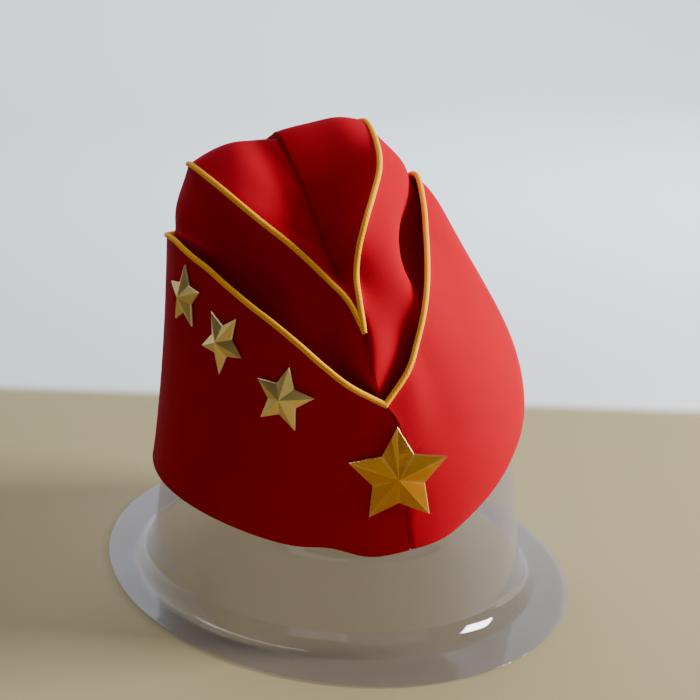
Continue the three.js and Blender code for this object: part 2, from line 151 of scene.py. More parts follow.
# places of one side at each share: the rim is an oval whose sides rise with the sine squared of the turn;
# bell curves of the turn lower the left edges, and bring the right crown edge forth along the sightline
def station(share, side):
    s = dict(zip(sectionColumns, np.moveaxis(smoothRead(sectionRows, share), -1, 0)))
    turn = np.radians(s["turn"])
    lift = np.sin(turn) ** 2
    rimUp = cap["rimLow"] + cap["rimRise"] * lift - cap["rimFlatten"] * lift ** 2
    rimUp = rimUp - cap["frontDip"] * bell(s["turn"], cap["dipTurn"], cap["dipWidth"])
    if side < 0:
        rimUp = rimUp + cap["waveRise"] * bell(s["turn"], cap["waveTurn"], cap["waveWidth"])
    sine = side * np.sin(turn)
    cosine = np.cos(turn)
    flat = np.zeros_like(turn)
    s["rim"] = np.stack([cap["rimHalfWidth"] * sine, -cap["rimHalfLength"] * cosine, rimUp], -1)
    s["outward"] = unit(np.stack([sine / cap["rimHalfWidth"], -cosine / cap["rimHalfLength"], flat], -1))
    s["curtainEdge"] = np.stack([side * s["curtainOut"], s["curtainBack"], s["curtainUp"]], -1)
    s["crownEdge"] = np.stack([side * s["crownOut"], s["crownBack"], s["crownUp"]], -1)
    s["side"] = side
    s["crownDrop"] = crown["drop"] * bell(s["turn"], crown["dropTurn"], crown["dropWidth"])
    forth = crown["forth"] * bell(s["turn"], crown["forthTurn"], crown["forthWidth"])
    s["forth"] = forth[..., None] * np.array(crown["sightline"])
    if side < 0:
        drop = curtain["drop"] * bell(s["turn"], curtain["dropTurn"], curtain["dropWidth"])
        s["curtainEdge"][..., 2] -= drop
        s["crownEdge"][..., 2] -= s["crownDrop"]
    else:
        s["crownEdge"] = s["crownEdge"] + s["forth"]
    s["bulge"] = s["bulgeLeft"] if side < 0 else s["bulgeRight"]
    s["standoff"] = s["standoffLeft"] if side < 0 else s["standoffRight"]
    return s


# direction of a piped edge, from two stations close to each share
def edgeRun(share, side, name):
    after = station(np.minimum(share + 1e-3, 1), side)[name]
    before = station(np.maximum(share - 1e-3, 0), side)[name]
    return unit(after - before)


# a point the setback away from a piped edge, on the way to another point
def setBack(edge, run, towards, distance):
    way = unit(towards - edge)
    slant = np.linalg.norm(np.cross(way, run), axis=-1, keepdims=True)
    return edge + way * distance / slant


# how far the curtain stands out at a share and a height: a skewed half sine of the height makes its swell,
# less a hollow t (1 - t) squared beside the front seam, which deepens from the rim upwards; the right one's
# shoulder is a half sine of a power of the height, along a bell curve of the share
def standOut(s, share, rise):
    height = np.maximum(rise, 0)
    skew = math.log(0.5) / math.log(curtain["bulgePeak"])
    swell = s["bulge"] * np.sin(np.pi * height ** skew)
    t = np.clip(share / curtain["hollowShare"], 0, 1)
    deepest = curtain["hollowLeft"] if s["side"] < 0 else curtain["hollowRight"]
    depth = deepest * np.clip(curtain["hollowLow"] + curtain["hollowGain"] * rise, curtain["hollowLow"], 1)
    along = bell(share, curtain["shoulderShare"], curtain["shoulderWidth"])
    shoulder = curtain["shoulder"] * along * np.sin(np.pi * height ** curtain["shoulderPower"])
    return swell - depth * thirdPeak * t * (1 - t) ** 2 + shoulder * (s["side"] > 0)


# outer face of the curtain: straight from rim to edge, plus what it stands out; share and up are broadcast
def curtainFace(share, up, side, inset=0.0, setback=None):
    s = station(share, side)
    gap = cap["edgeSetback"] if setback is None else setback
    edge = setBack(s["curtainEdge"], edgeRun(share, side, "curtainEdge"), s["rim"], gap)
    out = standOut(s, share, up) - inset
    return s["rim"] * (1 - up[..., None]) + edge * up[..., None] + s["outward"] * out[..., None]


# cloth pulled smooth above a line: each point moves to the mean of its four neighbours, its edges held
def relaxed(face, first):
    part = face[:, first:].copy()
    for turn in range(crown["relaxTurns"]):
        part[1:-1, 1:-1] = (part[2:, 1:-1] + part[:-2, 1:-1] + part[1:-1, 2:] + part[1:-1, :-2]) / 4
    return np.concatenate([face[:, :first], part], axis=1)


# outer face of the crown panel: a smooth curve from inside the rim, close behind the curtain and past its
# edge, to its own edge; above the curtain it is pulled smooth, then swells straight out by a half sine of
# the height; the right one drops back below its piping by r squared (1 - r), and the front reaches left and
# forth in a ridge, a half sine of the height along a bell curve of the share
def crownFace(share, up, side):
    name = "Left" if side < 0 else "Right"
    s = station(share, side)
    standoff = s["standoff"][:, None]
    low = curtainFace(share, 0 * share, side, cap["wall"] + crown["under" + name])
    mid = curtainFace(share, 0 * share + 0.5, side, cap["wall"] + crown["behind"])
    mid = mid - s["outward"] * crown["lag"] * standoff
    passing = curtainFace(share, 0 * share + 1, side) - s["outward"] * standoff
    edge = setBack(s["crownEdge"], edgeRun(share, side, "crownEdge"), passing, cap["edgeSetback"])
    face = smoothThrough([low, mid, passing, (passing + edge) / 2, edge], up)
    face = relaxed(face, int(np.searchsorted(up, 0.5)))
    rise = np.clip(2 * up - 1, 0, 1)
    rearAlong = bell(share, crown["rear" + name + "Share"], crown["rear" + name + "Width"])
    swell = (crown["round" + name] + crown["rear" + name] * rearAlong) * np.sqrt(np.sin(np.pi * share))
    swell = swell[:, None, None] * np.sin(np.pi * rise)[None, :, None]
    face = face + s["outward"][:, None] * swell
    steep = crown["steepRight"] * bell(share, crown["steepShare"], crown["steepWidth"])
    steep = steep[:, None] * (thirdPeak * rise ** 2 * (1 - rise))[None]
    face = face + np.array([0, 1.0, 0]) * steep[..., None] * (side > 0)
    ridge = bell(share, 0, crown["ridgeWidth"])[:, None] * np.sin(np.pi * rise)[None]
    return face - np.array([crown["ridgeShift"], crown["ridgeForth"], 0]) * ridge[..., None]


# the curtain drawn in along its seams: bell curves of the distance from the middle plane move the face in,
# as a ditch, or near the V as the left panel's tuck, and bend the front seam sideways by a half sine of a
# power of the height; the slit holds the two panels apart
def rollSeams(face, share, up, side):
    outward = station(share, side)["outward"][:, None]
    front = np.where(share < 0.5, 1.0, 0.0)[:, None, None]
    across = np.abs(face[..., :1])
    point = front * np.clip(up * seam["tuckGain"] - seam["tuckStart"], 0, 1)[None, :, None]
    tuck = point * (side < 0) * seam["tuck"] * bell(across, 0, seam["tuckWidth"])
    ditch = seam["ditchLeft"] if side < 0 else seam["ditchRight"]
    depth = ditch * bell(across, 0, seam["ditchWidth"])
    depth = depth * (1 - point) + tuck
    bend = front * seam["bend"] * np.sin(np.pi * up ** seam["bendPower"])[None, :, None]
    bend = bend * bell(across, 0, seam["bendWidth"])
    face = face - outward * depth
    across = side * np.hypot(across, seam["slitHalf"]) + bend
    return np.concatenate([across, face[..., 1:]], -1)


# from the cap's own frame to the row frame, in metres
lean = Matrix.Rotation(math.radians(cap["leanDeg"]), 3, "Y")
spin = Matrix.Rotation(math.radians(cap["turnDeg"]), 3, "Z")
capTurn = np.array(spin @ lean)


def seatCap(points):
    return (points @ capTurn.T + np.array(cap["seat"])) * mm


# length run along a grid's axis, for the weave's coordinates
def runLength(grid, axis):
    step = np.linalg.norm(np.diff(grid, axis=axis), axis=-1)
    first = np.zeros_like(np.take(step, [0], axis=axis))
    return np.concatenate([first, np.cumsum(step, axis=axis)], axis=axis)


# a face as a wall with round hems: the section is a loop up the outer side, over the top hem,
# down the inner side and under the lower hem; returns a grid of points and its weave coordinates
def clothWall(face, wall, inside, hemSteps=5):
    upward = slope(face, 1)
    normal = unit(np.cross(slope(face, 0), upward))
    normal *= np.sign(np.sum(normal * (face - inside)))
    middle = face - normal * wall / 2
    turn = np.linspace(0, np.pi, hemSteps + 2)[None, 1:-1, None]

    def hem(row, sign):
        way = unit(upward[:, row]) * sign
        return middle[:, row] + wall / 2 * (normal[:, row] * np.cos(turn) + way * np.sin(turn))

    upper = hem(slice(-1, None), 1)
    lower = hem(slice(0, 1), -1)[:, ::-1]
    inner = (face - normal * wall)[:, ::-1]
    loop = np.concatenate([face, upper, inner, lower], axis=1)
    return loop, np.stack([runLength(loop, 0), runLength(loop, 1)], -1)


# quads of a grid, rows wrapped round the section, and the columns too where the piece is closed
def gridQuads(columns, rows, closedColumns=False, closedRows=True):
    i = np.arange(columns if closedColumns else columns - 1)[:, None]
    j = np.arange(rows if closedRows else rows - 1)[None, :]
    ni, nj = (i + 1) % columns, (j + 1) % rows
    corners = [i * rows + j, ni * rows + j, ni * rows + nj, i * rows + nj]
    return np.stack(np.broadcast_arrays(*corners), -1).reshape(-1, 4)


# puts a grid into a mesh, welds its poles, closes its open ends and points its faces out
def pieceFromGrid(name, grid, weave, closedColumns=False, closedRows=True, endCaps=True):
    columns, rows = grid.shape[:2]
    quads = gridQuads(columns, rows, closedColumns, closedRows)
    mesh = bpy.data.meshes.new(name)
    mesh.from_pydata(grid.reshape(-1, 3).tolist(), [], quads.tolist())
    corner = np.zeros(len(mesh.loops), np.int32)
    mesh.loops.foreach_get("vertex_index", corner)
    layer = mesh.uv_layers.new(name="weave")
    layer.data.foreach_set("uv", weave.reshape(-1, 2)[corner].astype(np.float32).ravel())
    shape = bmesh.new()
    shape.from_mesh(mesh)
    bmesh.ops.remove_doubles(shape, verts=shape.verts, dist=1e-6)
    if endCaps:
        bmesh.ops.holes_fill(shape, edges=shape.edges, sides=0)
    bmesh.ops.recalc_face_normals(shape, faces=shape.faces)
    shape.to_mesh(mesh)
    shape.free()
    mesh.shade_smooth()
    piece = bpy.data.objects.new(name, mesh)
    bpy.context.scene.collection.objects.link(piece)
    return piece


# the piece takes the place of a node of the frame, and its finish
def dress(piece, node, material):
    piece.data.materials.clear()
    piece.data.materials.append(material)
    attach(piece, "root")
    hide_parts(node)
    return piece


# wraps a socket, so that sums written on values add Math nodes
class Flow:
    def __init__(self, tree, socket=None):
        self.tree = tree
        self.socket = socket

    # any node: its type, its settings first, then its inputs by name or number
    def make(self, kind, settings=None, inputs=None, output=0):
        node = self.tree.nodes.new(kind)
        for name, value in (settings or {}).items():
            if name == "stops":
                for k, (place, colour) in enumerate(value):
                    stops = node.color_ramp.elements
                    stop = stops[k] if k < len(stops) else stops.new(place)
                    stop.position = place
                    stop.color = colour
            else:
                setattr(node, name, value)
        for name, value in (inputs or {}).items():
            if isinstance(value, Flow):
                self.tree.links.new(value.socket, node.inputs[name])
            else:
                node.inputs[name].default_value = value
        return Flow(self.tree, node.outputs[output] if node.outputs else None)

    def sum(self, operation, first, second=0.0):
        return self.make("ShaderNodeMath", {"operation": operation}, {0: first, 1: second})

    def __add__(self, other):
        return self.sum("ADD", self, other)

    def __radd__(self, other):
        return self.sum("ADD", other, self)

    def __sub__(self, other):
        return self.sum("SUBTRACT", self, other)

    def __rsub__(self, other):
        return self.sum("SUBTRACT", other, self)

    def __mul__(self, other):
        return self.sum("MULTIPLY", self, other)

    def __rmul__(self, other):
        return self.sum("MULTIPLY", other, self)

    def __pow__(self, other):
        return self.sum("POWER", self, other)

    def sine(self):
        return self.sum("SINE", self)

    # from one colour to another
    def tint(self, colourA, colourB):
        mixed = {0: self, 6: colourA, 7: colourB}
        return self.make("ShaderNodeMix", {"data_type": "RGBA"}, mixed, 2)


def newMaterial(name):
    material = bpy.data.materials.new(name)
    material.use_nodes = True
    material.node_tree.nodes.clear()
    return material, Flow(material.node_tree)


def finishMaterial(material, flow, shaderInputs):
    shader = flow.make("ShaderNodeBsdfPrincipled", None, shaderInputs)
    flow.make("ShaderNodeOutputMaterial", None, {"Surface": shader})
    return material


def noise(flow, place, scale, detail=3.0, rough=0.5):
    inputs = {"Vector": place, "Scale": scale, "Detail": detail, "Roughness": rough}
    return flow.make("ShaderNodeTexNoise", None, inputs, "Fac")


def bump(flow, height, distance, strength=1.0, under=None):
    inputs = {"Strength": strength, "Distance": distance, "Height": height}
    if under is not None:
        inputs["Normal"] = under
    return flow.make("ShaderNodeBump", None, inputs)


# red cloth: a fine twill on the weave coordinates, soft creases and a little unevenness of dye
clothLook = dict(
    red=(0.42, 0.0006, 0.013, 1), deepRed=(0.36, 0.0004, 0.009, 1), dyeScale=60.0,
    sheen=0.01, sheenTint=(1.0, 0.2, 0.28, 1), sheenRough=0.45, gloss=0.02, rough=0.74,
    yarnPitch=0.62 * mm, yarnHeight=0.05 * mm, lintScale=2600.0, creaseHeight=0.45 * mm, creaseScale=22.0,
)


def makeCloth(name, look):
    material, flow = newMaterial(name)
    weave = flow.make("ShaderNodeTexCoord", None, None, "UV")
    place = flow.make("ShaderNodeTexCoord", None, None, "Object")
    x = flow.make("ShaderNodeSeparateXYZ", None, {0: weave}, "X")
    y = flow.make("ShaderNodeSeparateXYZ", None, {0: weave}, "Y")
    turns = 2 * math.pi / look["yarnPitch"]
    yarn = ((x * turns).sine() * (y * turns).sine() + ((x + y) * (0.5 * turns)).sine()) * 0.25 + 0.5
    lint = noise(flow, place, look["lintScale"], 2.0)
    crease = noise(flow, place, look["creaseScale"], 2.0, 0.4)
    dye = noise(flow, place, look["dyeScale"], 4.0) * 0.6 + lint * 0.4
    colour = (dye * 1.6 - 0.3).tint(look["deepRed"], look["red"])
    soft = bump(flow, crease, look["creaseHeight"])
    fine = bump(flow, yarn * 0.8 + lint * 0.4, look["yarnHeight"], 0.8, soft)
    return finishMaterial(material, flow, {
        "Base Color": colour, "Roughness": look["rough"] + (lint - 0.5) * 0.12, "Normal": fine,
        "Sheen Weight": look["sheen"], "Sheen Roughness": look["sheenRough"],
        "Sheen Tint": look["sheenTint"], "Specular IOR Level": look["gloss"],
    })


# gold piping: yarns laid on a slant round the cord, with fuzz
pipingLook = dict(
    gold=(1.0, 0.46, 0.022, 1), brown=(0.82, 0.33, 0.014, 1), patchScale=300.0,
    sheen=0.05, sheenTint=(1.0, 0.7, 0.25, 1), sheenRough=0.5, gloss=0.04, rough=0.66,
    yarnsRound=5.0, yarnPitch=1.9 * mm, yarnHeight=0.08 * mm, fuzzScale=3200.0,
)


def makePiping(name, look):
    material, flow = newMaterial(name)
    weave = flow.make("ShaderNodeTexCoord", None, None, "UV")
    place = flow.make("ShaderNodeTexCoord", None, None, "Object")
    along = flow.make("ShaderNodeSeparateXYZ", None, {0: weave}, "X")
    around = flow.make("ShaderNodeSeparateXYZ", None, {0: weave}, "Y")
    fuzz = noise(flow, place, look["fuzzScale"], 3.0, 0.6)
    patch = noise(flow, place, look["patchScale"], 3.0)
    slant = along * (2 * math.pi / look["yarnPitch"]) + around * (2 * math.pi * look["yarnsRound"])
    yarn = (slant + fuzz * 2.0).sine() * 0.5 + 0.5
    # the colour darkens with the strands' bump into the grooves between them, a painted shade, on top of
    # random tone from the patches and fuzz
    grooveShadeAndTone = yarn * 0.25 + patch * 0.55 + fuzz * 0.4
    colour = (grooveShadeAndTone * 1.5 - 0.3).tint(look["brown"], look["gold"])
    laid = bump(flow, yarn * 0.7 + fuzz * 0.8, look["yarnHeight"])
    return finishMaterial(material, flow, {
        "Base Color": colour, "Roughness": look["rough"] + (fuzz - 0.5) * 0.2, "Normal": laid,
        "Sheen Weight": look["sheen"], "Sheen Roughness": look["sheenRough"],
        "Sheen Tint": look["sheenTint"], "Specular IOR Level": look["gloss"],
    })


# stamped brass: clouded and lightly scratched, lighter along the edges and ridges, partly as wear and
# partly as a painted highlight
brassLook = dict(
    metallic=0.92, grainScale=1500.0, cloudScale=120.0, scratchScale=420.0,
    scratchStretch=(1.0, 1.0, 14.0), scratchTurn=(0.5, 0.6, 0), grainHeight=0.06 * mm,
)
# the lightest colour of each look goes on the edges and ridges: partly wear, partly a painted highlight
smallStarLook = dict(
    metal=(0.95, 0.71, 0.24, 1), dull=(0.80, 0.57, 0.17, 1), wearAndHighlight=(1.0, 0.84, 0.45, 1), rough=0.38,
)
frontStarLook = dict(
    metal=(0.60, 0.27, 0.022, 1), dull=(0.48, 0.20, 0.013, 1), wearAndHighlight=(1.0, 0.66, 0.28, 1), rough=0.22,
)


def makeBrass(name, look):
    material, flow = newMaterial(name)
    place = flow.make("ShaderNodeTexCoord", None, None, "Object")
    marks = flow.make("ShaderNodeTexCoord", None, None, "UV")
    edge = flow.make("ShaderNodeSeparateXYZ", None, {0: marks}, "X")
    grain = noise(flow, place, brassLook["grainScale"], 3.0, 0.6)
    cloud = noise(flow, place, brassLook["cloudScale"], 4.0, 0.55)
    stretched = flow.make("ShaderNodeMapping", None, {
        "Vector": place, "Scale": brassLook["scratchStretch"], "Rotation": brassLook["scratchTurn"],
    })
    scratch = noise(flow, stretched, brassLook["scratchScale"], 2.0, 0.7)
    colour = (cloud * 1.4 - 0.2).tint(look["dull"], look["metal"])
    # lighter brass on the edges and ridges: partly wear, partly a painted highlight
    wornAndHighlit = (edge * (0.55 + grain * 0.6)).tint(colour, look["wearAndHighlight"])
    return finishMaterial(material, flow, {
        "Base Color": wornAndHighlit, "Metallic": brassLook["metallic"],
        "Roughness": look["rough"] + (cloud - 0.5) * 0.22 + (scratch - 0.5) * 0.16,
        "Normal": bump(flow, grain * 0.5 + scratch * 0.6, brassLook["grainHeight"], 0.35),
    })


# clear formed sheet: light goes straight through with a faint violet-grey cast; its gloss, which grows to
# the edges, is mixed in with a little haze and slow waves
standLook = dict(
    cast=(0.87, 0.865, 0.90, 1), gloss=(0.80, 0.79, 0.86, 1), metallic=0.75, rough=0.05,
    least=0.035, edge=0.55, edgePower=3.5, haze=0.04, hazeScale=90.0, waveHeight=0.8 * mm, waveScale=26.0,
)


def makeClear(name, look):
    material, flow = newMaterial(name)
    place = flow.make("ShaderNodeTexCoord", None, None, "Object")
    wave = noise(flow, place, look["waveScale"], 2.0, 0.4)
    haze = noise(flow, place, look["hazeScale"], 4.0, 0.6)
    waved = bump(flow, wave, look["waveHeight"], 0.6)
    slant = flow.make("ShaderNodeLayerWeight", None, {"Blend": 0.5, "Normal": waved}, "Facing")
    share = look["least"] + slant ** look["edgePower"] * look["edge"] + haze * look["haze"]
    through = flow.make("ShaderNodeBsdfTransparent", None, {"Color": look["cast"]})
    gloss = flow.make("ShaderNodeBsdfPrincipled", None, {
        "Base Color": look["gloss"], "Metallic": look["metallic"],
        "Roughness": look["rough"] + haze * 0.04, "Normal": waved,
    })
    sheet = flow.make("ShaderNodeMixShader", None, {0: share, 1: through, 2: gloss})
    flow.make("ShaderNodeOutputMaterial", None, {"Surface": sheet})
    return material


redCloth = makeCloth("redCloth", clothLook)
goldPiping = makePiping("goldPiping", pipingLook)
paleBrass = makeBrass("paleBrass", smallStarLook)
deepBrass = makeBrass("deepBrass", frontStarLook)
clearSheet = makeClear("clearSheet", standLook)
print("materials made")

inside = np.array(cap["inside"], float)
sides = (("left", -1), ("right", 1))


# shares closer together at the seams, where the cloth rolls in
def seamShares(count):
    t = np.linspace(0, 1, count)
    return t - cap["crowding"] * np.sin(2 * np.pi * t)


for label, side in sides:
    share = seamShares(curtain["columns"])
    up = np.linspace(0, 1, curtain["rows"])
    face = rollSeams(curtainFace(share[:, None], up[None], side), share, up, side)
    grid, weave = clothWall(face, cap["wall"], inside)
    piece = pieceFromGrid("curtain_" + label + "_cloth", seatCap(grid), weave * mm)
    dress(piece, "curtain_" + label, redCloth)
    share = seamShares(crown["columns"])
    face = crownFace(share, np.linspace(0, 1, crown["rows"]), side)
    grid, weave = clothWall(face, cap["wall"], inside)
    piece = pieceFromGrid("crown_" + label + "_cloth", seatCap(grid), weave * mm)
    dress(piece, "crown_" + label, redCloth)
print("curtain and crown panels made")

# top panel: between the crown's edges, a valley whose depth falls as a power of the distance from the fold,
# a crest towards the rear, and the right half lapped over the left at the fold; the left half puffs up
# beside the lap by w (1 - w), and bell curves along and across make a puff on the right and a hollow left
top = dict(
    start=0.05, end=0.985, columns=150, halfRows=30, lapRows=6, crowding=1.5, inset=0.9, leastReach=0.05,
    foldSharpness=1.3, fullReach=10.0, leftPuff=0.62,
    valley=3.0, valleyAcross=-0.27, valleyWidth=0.18, valleyShare=0.55, valleyLength=0.09,
    rightPuff=1.6, puffAcross=0.75, puffWidth=0.25, puffShare=0.62, puffLength=0.1,
)


def topFace(share, across, lapped):
    s = station(share, 1)
    run = edgeRun(share, 1, "crownEdge")
    inward = np.array([-1.0, 0, 0]) - run * -run[:, :1]
    edge = s["crownEdge"] - s["forth"] + unit(inward) * top["inset"]
    reach = np.maximum(edge[:, :1], top["leastReach"])
    depth = s["dip"][:, None] * np.minimum(1, reach / top["fullReach"])
    w = across[None]
    fold = depth * (1 - np.abs(w)) ** top["foldSharpness"]
    crest = s["crest"][:, None] * (1 - w ** 2)
    puff = top["leftPuff"] * 4 * np.abs(w) * (1 - np.abs(w)) * (1 - lapped[None])
    lap = s["step"][:, None] * ((1 - w) * lapped[None] + puff)
    puffAlong = bell(share, top["puffShare"], top["puffLength"])[:, None]
    lap = lap + top["rightPuff"] * bell(w, top["puffAcross"], top["puffWidth"]) * puffAlong
    valleyAlong = bell(share, top["valleyShare"], top["valleyLength"])[:, None]
    lap = lap - top["valley"] * bell(w, top["valleyAcross"], top["valleyWidth"]) * valleyAlong
    up = edge[:, 2:] - fold + crest + lap - s["crownDrop"][:, None] * np.maximum(-w, 0) ** 2
    face = np.stack([w * reach, np.broadcast_to(edge[:, 1:2], up.shape), up], -1)
    return face + np.maximum(w, 0)[..., None] * s["forth"][:, None]


share = np.linspace(top["start"], top["end"], top["columns"])
half = np.linspace(0, 1, top["halfRows"]) ** top["crowding"]
lapRise = np.linspace(0, 1, top["lapRows"])[1:-1]
across = np.concatenate([-half[::-1], 0 * lapRise, half])
lapped = np.concatenate([np.zeros_like(half), lapRise, np.ones_like(half)])
grid, weave = clothWall(topFace(share, across, lapped), cap["wall"], inside)
dress(pieceFromGrid("crown_top_cloth", seatCap(grid), weave * mm), "crown_top", redCloth)
print("top panel made")

# piping: a round cord carried along each edge, its radius swelling with the lay of its strands
piping = dict(radius=1.22, runOn=0.9, strands=3, lay=5.0, swell=0.016, slant=0.35, steps=560, round=18)


def cordGrid(edgeName, side):
    share = np.linspace(0, 1, piping["steps"])
    path = station(share, side)[edgeName]
    before = path[:1] + unit(path[:1] - path[1:2]) * piping["runOn"]
    after = path[-1:] + unit(path[-1:] - path[-2:-1]) * piping["runOn"]
    path = np.concatenate([before, path, after])
    run = unit(slope(path, 0))
    leaning = np.array([0.0, 0, 1]) + piping["slant"] * unit(path * np.array([1, 1, 0]))
    first = unit(np.cross(run, leaning))
    second = np.cross(run, first)
    length = runLength(path, 0)
    angle = np.linspace(0, 2 * np.pi, piping["round"], endpoint=False)
    lay = np.cos(piping["strands"] * (angle[None] - 2 * np.pi * length[:, None] / piping["lay"]))
    radius = piping["radius"] * (1 + piping["swell"] * lay)
    cosine = np.cos(angle)[None, :, None]
    sine = np.sin(angle)[None, :, None]
    grid = path[:, None] + radius[..., None] * (first[:, None] * cosine + second[:, None] * sine)
    weave = np.stack(np.broadcast_arrays(length[:, None] * mm, angle[None] / (2 * np.pi)), -1)
    return grid, weave


for label, side in sides:
    for edge in ("crown", "curtain"):
        grid, weave = cordGrid(edge + "Edge", side)
        node = edge + "_piping_" + label
        dress(pieceFromGrid(node + "_cord", seatCap(grid), weave), node, goldPiping)
print("piping made")

# star badges: flat facets from a raised middle to a thin edge, seated on the curtain
starColumns = ("name", "side", "along", "up", "radius", "turnDeg", "tiltDeg", "yawDeg", "rise", "waist")
starRows = (
    ("star_front", 0, 0, 0.539, 21.6, -8, 3, -6, 5, 0.53),
    ("star_side_front", -1, 0.261, 0.729, 14, -18.5, -3, -5, 4, 0.49),
    ("star_side_middle", -1, 0.428, 0.796, 14, 32.9, -3, -5, 4, 0.49),
    ("star_side_rear", -1, 0.566, 0.843, 14, 0.3, 0, -5, 4, 0.49),
)
# the ridge and edge amounts of lighter brass are partly wear, partly a painted highlight
badge = dict(
    points=5, edgeParts=8, rings=10, rim=0.8, gap=0.3, sheet=1.0, bend=0.5, searchSteps=8,
    bevelFrom=0.975, bevelLead=0.01, bevelDrop=0.3, setback=1.95, ridgeWearAndHighlight=0.25, edgeWearAndHighlight=0.9, sharpDeg=12,
)


# the curtain's face round the front seam, shares below 0 being left of it
def onCurtain(share, up):
    left = curtainFace(np.abs(share), up, -1, 0.0, badge["setback"])
    right = curtainFace(np.abs(share), up, 1, 0.0, badge["setback"])
    return np.where((share < 0)[..., None], left, right)


# the star's own axes: the cloth's normal tilted and yawed, and the cap's up made square to it
def starAxes(star):
    share = np.array([star["side"] * star["along"]], float)
    up = np.array([star["up"]], float)
    near = 1e-3
    alongStep = (onCurtain(share + near, up) - onCurtain(share - near, up))[0] / (2 * near)
    upStep = (onCurtain(share, up + near) - onCurtain(share, up - near))[0] / (2 * near)
    cloth = unit(np.cross(alongStep, upStep))
    upright = unit(np.array([0, 0, 1.0]) - cloth * cloth[2])
    across = np.cross(upright, cloth)
    tilt = math.tan(math.radians(star["tiltDeg"]))
    yaw = math.tan(math.radians(star["yawDeg"]))
    normal = unit(cloth + upright * tilt + across * yaw)
    upright = unit(upright - normal * (upright @ normal))
    return onCurtain(share, up)[0], np.cross(upright, normal), upright, normal, alongStep, upStep


# height of the cloth under points of the star's plane: Newton's steps in share and up find each place
def clothUnder(star, axes, flat):
    middle, right, upright, normal, alongStep, upStep = axes
    sideways = [alongStep @ right, upStep @ right]
    upwards = [alongStep @ upright, upStep @ upright]
    steps = np.linalg.inv(np.array([sideways, upwards]))
    share = np.full(flat.shape[:-1], star["side"] * star["along"], float)
    up = np.full(flat.shape[:-1], star["up"], float)
    for step in range(badge["searchSteps"]):
        off = onCurtain(share, up) - middle
        miss = flat - np.stack([off @ right, off @ upright], -1)
        move = miss @ steps.T
        share = share + move[..., 0]
        up = up + move[..., 1]
    return (onCurtain(share, up) - middle) @ normal


# rings of the star from its middle to a narrow bevel, then down the rim and back under to the hollow's
# middle: the reach runs straight from tip to waist, so each facet is flat
def starGrid(star):
    corners = 2 * badge["points"]
    angle = np.radians(90 + star["turnDeg"] + np.arange(corners + 1) * 360 / corners)
    reach = np.where(np.arange(corners + 1) % 2 == 0, star["radius"], star["radius"] * star["waist"])
    corner = np.stack([reach * np.cos(angle), reach * np.sin(angle)], -1)
    part = np.arange(badge["edgeParts"])[None, :, None] / badge["edgeParts"]
    outline = (corner[:-1, None] * (1 - part) + corner[1:, None] * part).reshape(-1, 2)
    out = np.linspace(0, badge["bevelFrom"] - badge["bevelLead"], badge["rings"] - 1)
    out = np.append(out, badge["bevelFrom"])
    drop = star["rise"] + (badge["rim"] - star["rise"]) * out
    spread = np.concatenate([out, [1, 1], out[::-1]])
    height = np.concatenate([drop, [badge["rim"] - badge["bevelDrop"], 0], (drop - badge["sheet"])[::-1]])
    height = np.maximum(height, 0)
    flat = outline[:, None] * spread[None, :, None]
    axes = starAxes(star)
    middle, right, upright, normal = axes[:4]
    under = clothUnder(star, axes, flat)
    lift = badge["gap"] + max(0.0, clothUnder(star, axes, corner).max()) * (1 - badge["bend"])
    stand = lift + badge["bend"] * under + height[None]
    grid = middle + flat[..., :1] * right + flat[..., 1:] * upright + stand[..., None] * normal
    ridge = np.arange(len(outline)) % badge["edgeParts"] == 0
    edge = np.arange(len(spread)) >= badge["rings"] - 1
    # marks the edges and ridges for lighter brass: partly wear, partly a painted highlight
    wearAndHighlight = np.maximum(badge["ridgeWearAndHighlight"] * ridge[:, None], badge["edgeWearAndHighlight"] * edge[None])
    return grid, np.stack([wearAndHighlight, 0 * wearAndHighlight], -1)


for row in starRows:
    star = dict(zip(starColumns, row))
    grid, marks = starGrid(star)
    piece = pieceFromGrid(star["name"] + "_badge", seatCap(grid), marks, True, False, False)
    front = star["name"] == "star_front"
    dress(piece, star["name"], deepBrass if front else paleBrass)
    piece.data.set_sharp_from_angle(angle=math.radians(badge["sharpDeg"]))
print("stars made")

# clear stand: oval rings from the foot's edge to the top, each row a height and two half widths; the sheet
# is offset half its wall to each side, and a shallow dent behind the cap's front leaves the crown room
standRings = np.array([
    [0.5, 102.6, 130.6],
    [0.5, 96.5, 119],
    [0.5, 90.4, 107.6],
    [2.4, 86.4, 103],
    [7, 83.6, 99.8],
    [14, 82.3, 98.1],
    [46, 78.2, 93.0],
    [82, 72.4, 87.0],
    [100, 66.4, 81.4],
    [112, 55.4, 70.4],
    [118, 40.4, 52.4],
    [119.6, 21.4, 27.4],
    [119.8, 0, 0],
], float)
stand = dict(
    wall=0.5, round=160, steps=270, lipSteps=5,
    dent=3.0, dentAngle=math.radians(255), dentWidth=math.radians(17),
    dentLow=40.7, dentFull=43.3, dentFade=60.0,  # its heights, and the half width where it fades
)


# the dent is a bell curve of the angle and a smooth step of the height
def standGrid():
    ring = smoothRead(standRings, np.linspace(0, 1, stand["steps"]))
    angle = np.linspace(0, 2 * np.pi, stand["round"], endpoint=False)[:, None]
    up, halfWidth, halfLength = (ring[None, :, k] for k in range(3))
    up = np.maximum(up, standRings[0, 0])
    face = np.stack(np.broadcast_arrays(halfWidth * np.cos(angle), halfLength * np.sin(angle), up), -1)
    rise = np.clip((up - stand["dentLow"]) / (stand["dentFull"] - stand["dentLow"]), 0, 1)
    dent = stand["dent"] * bell(angle, stand["dentAngle"], stand["dentWidth"])
    dent = dent * rise ** 2 * (3 - 2 * rise)
    dent = dent * np.minimum(1, halfWidth / stand["dentFade"]) ** 2
    inward = -unit(face * np.array([1, 1, 0]) + 1e-9)
    return (face + inward * dent[..., None])[:, :-1]


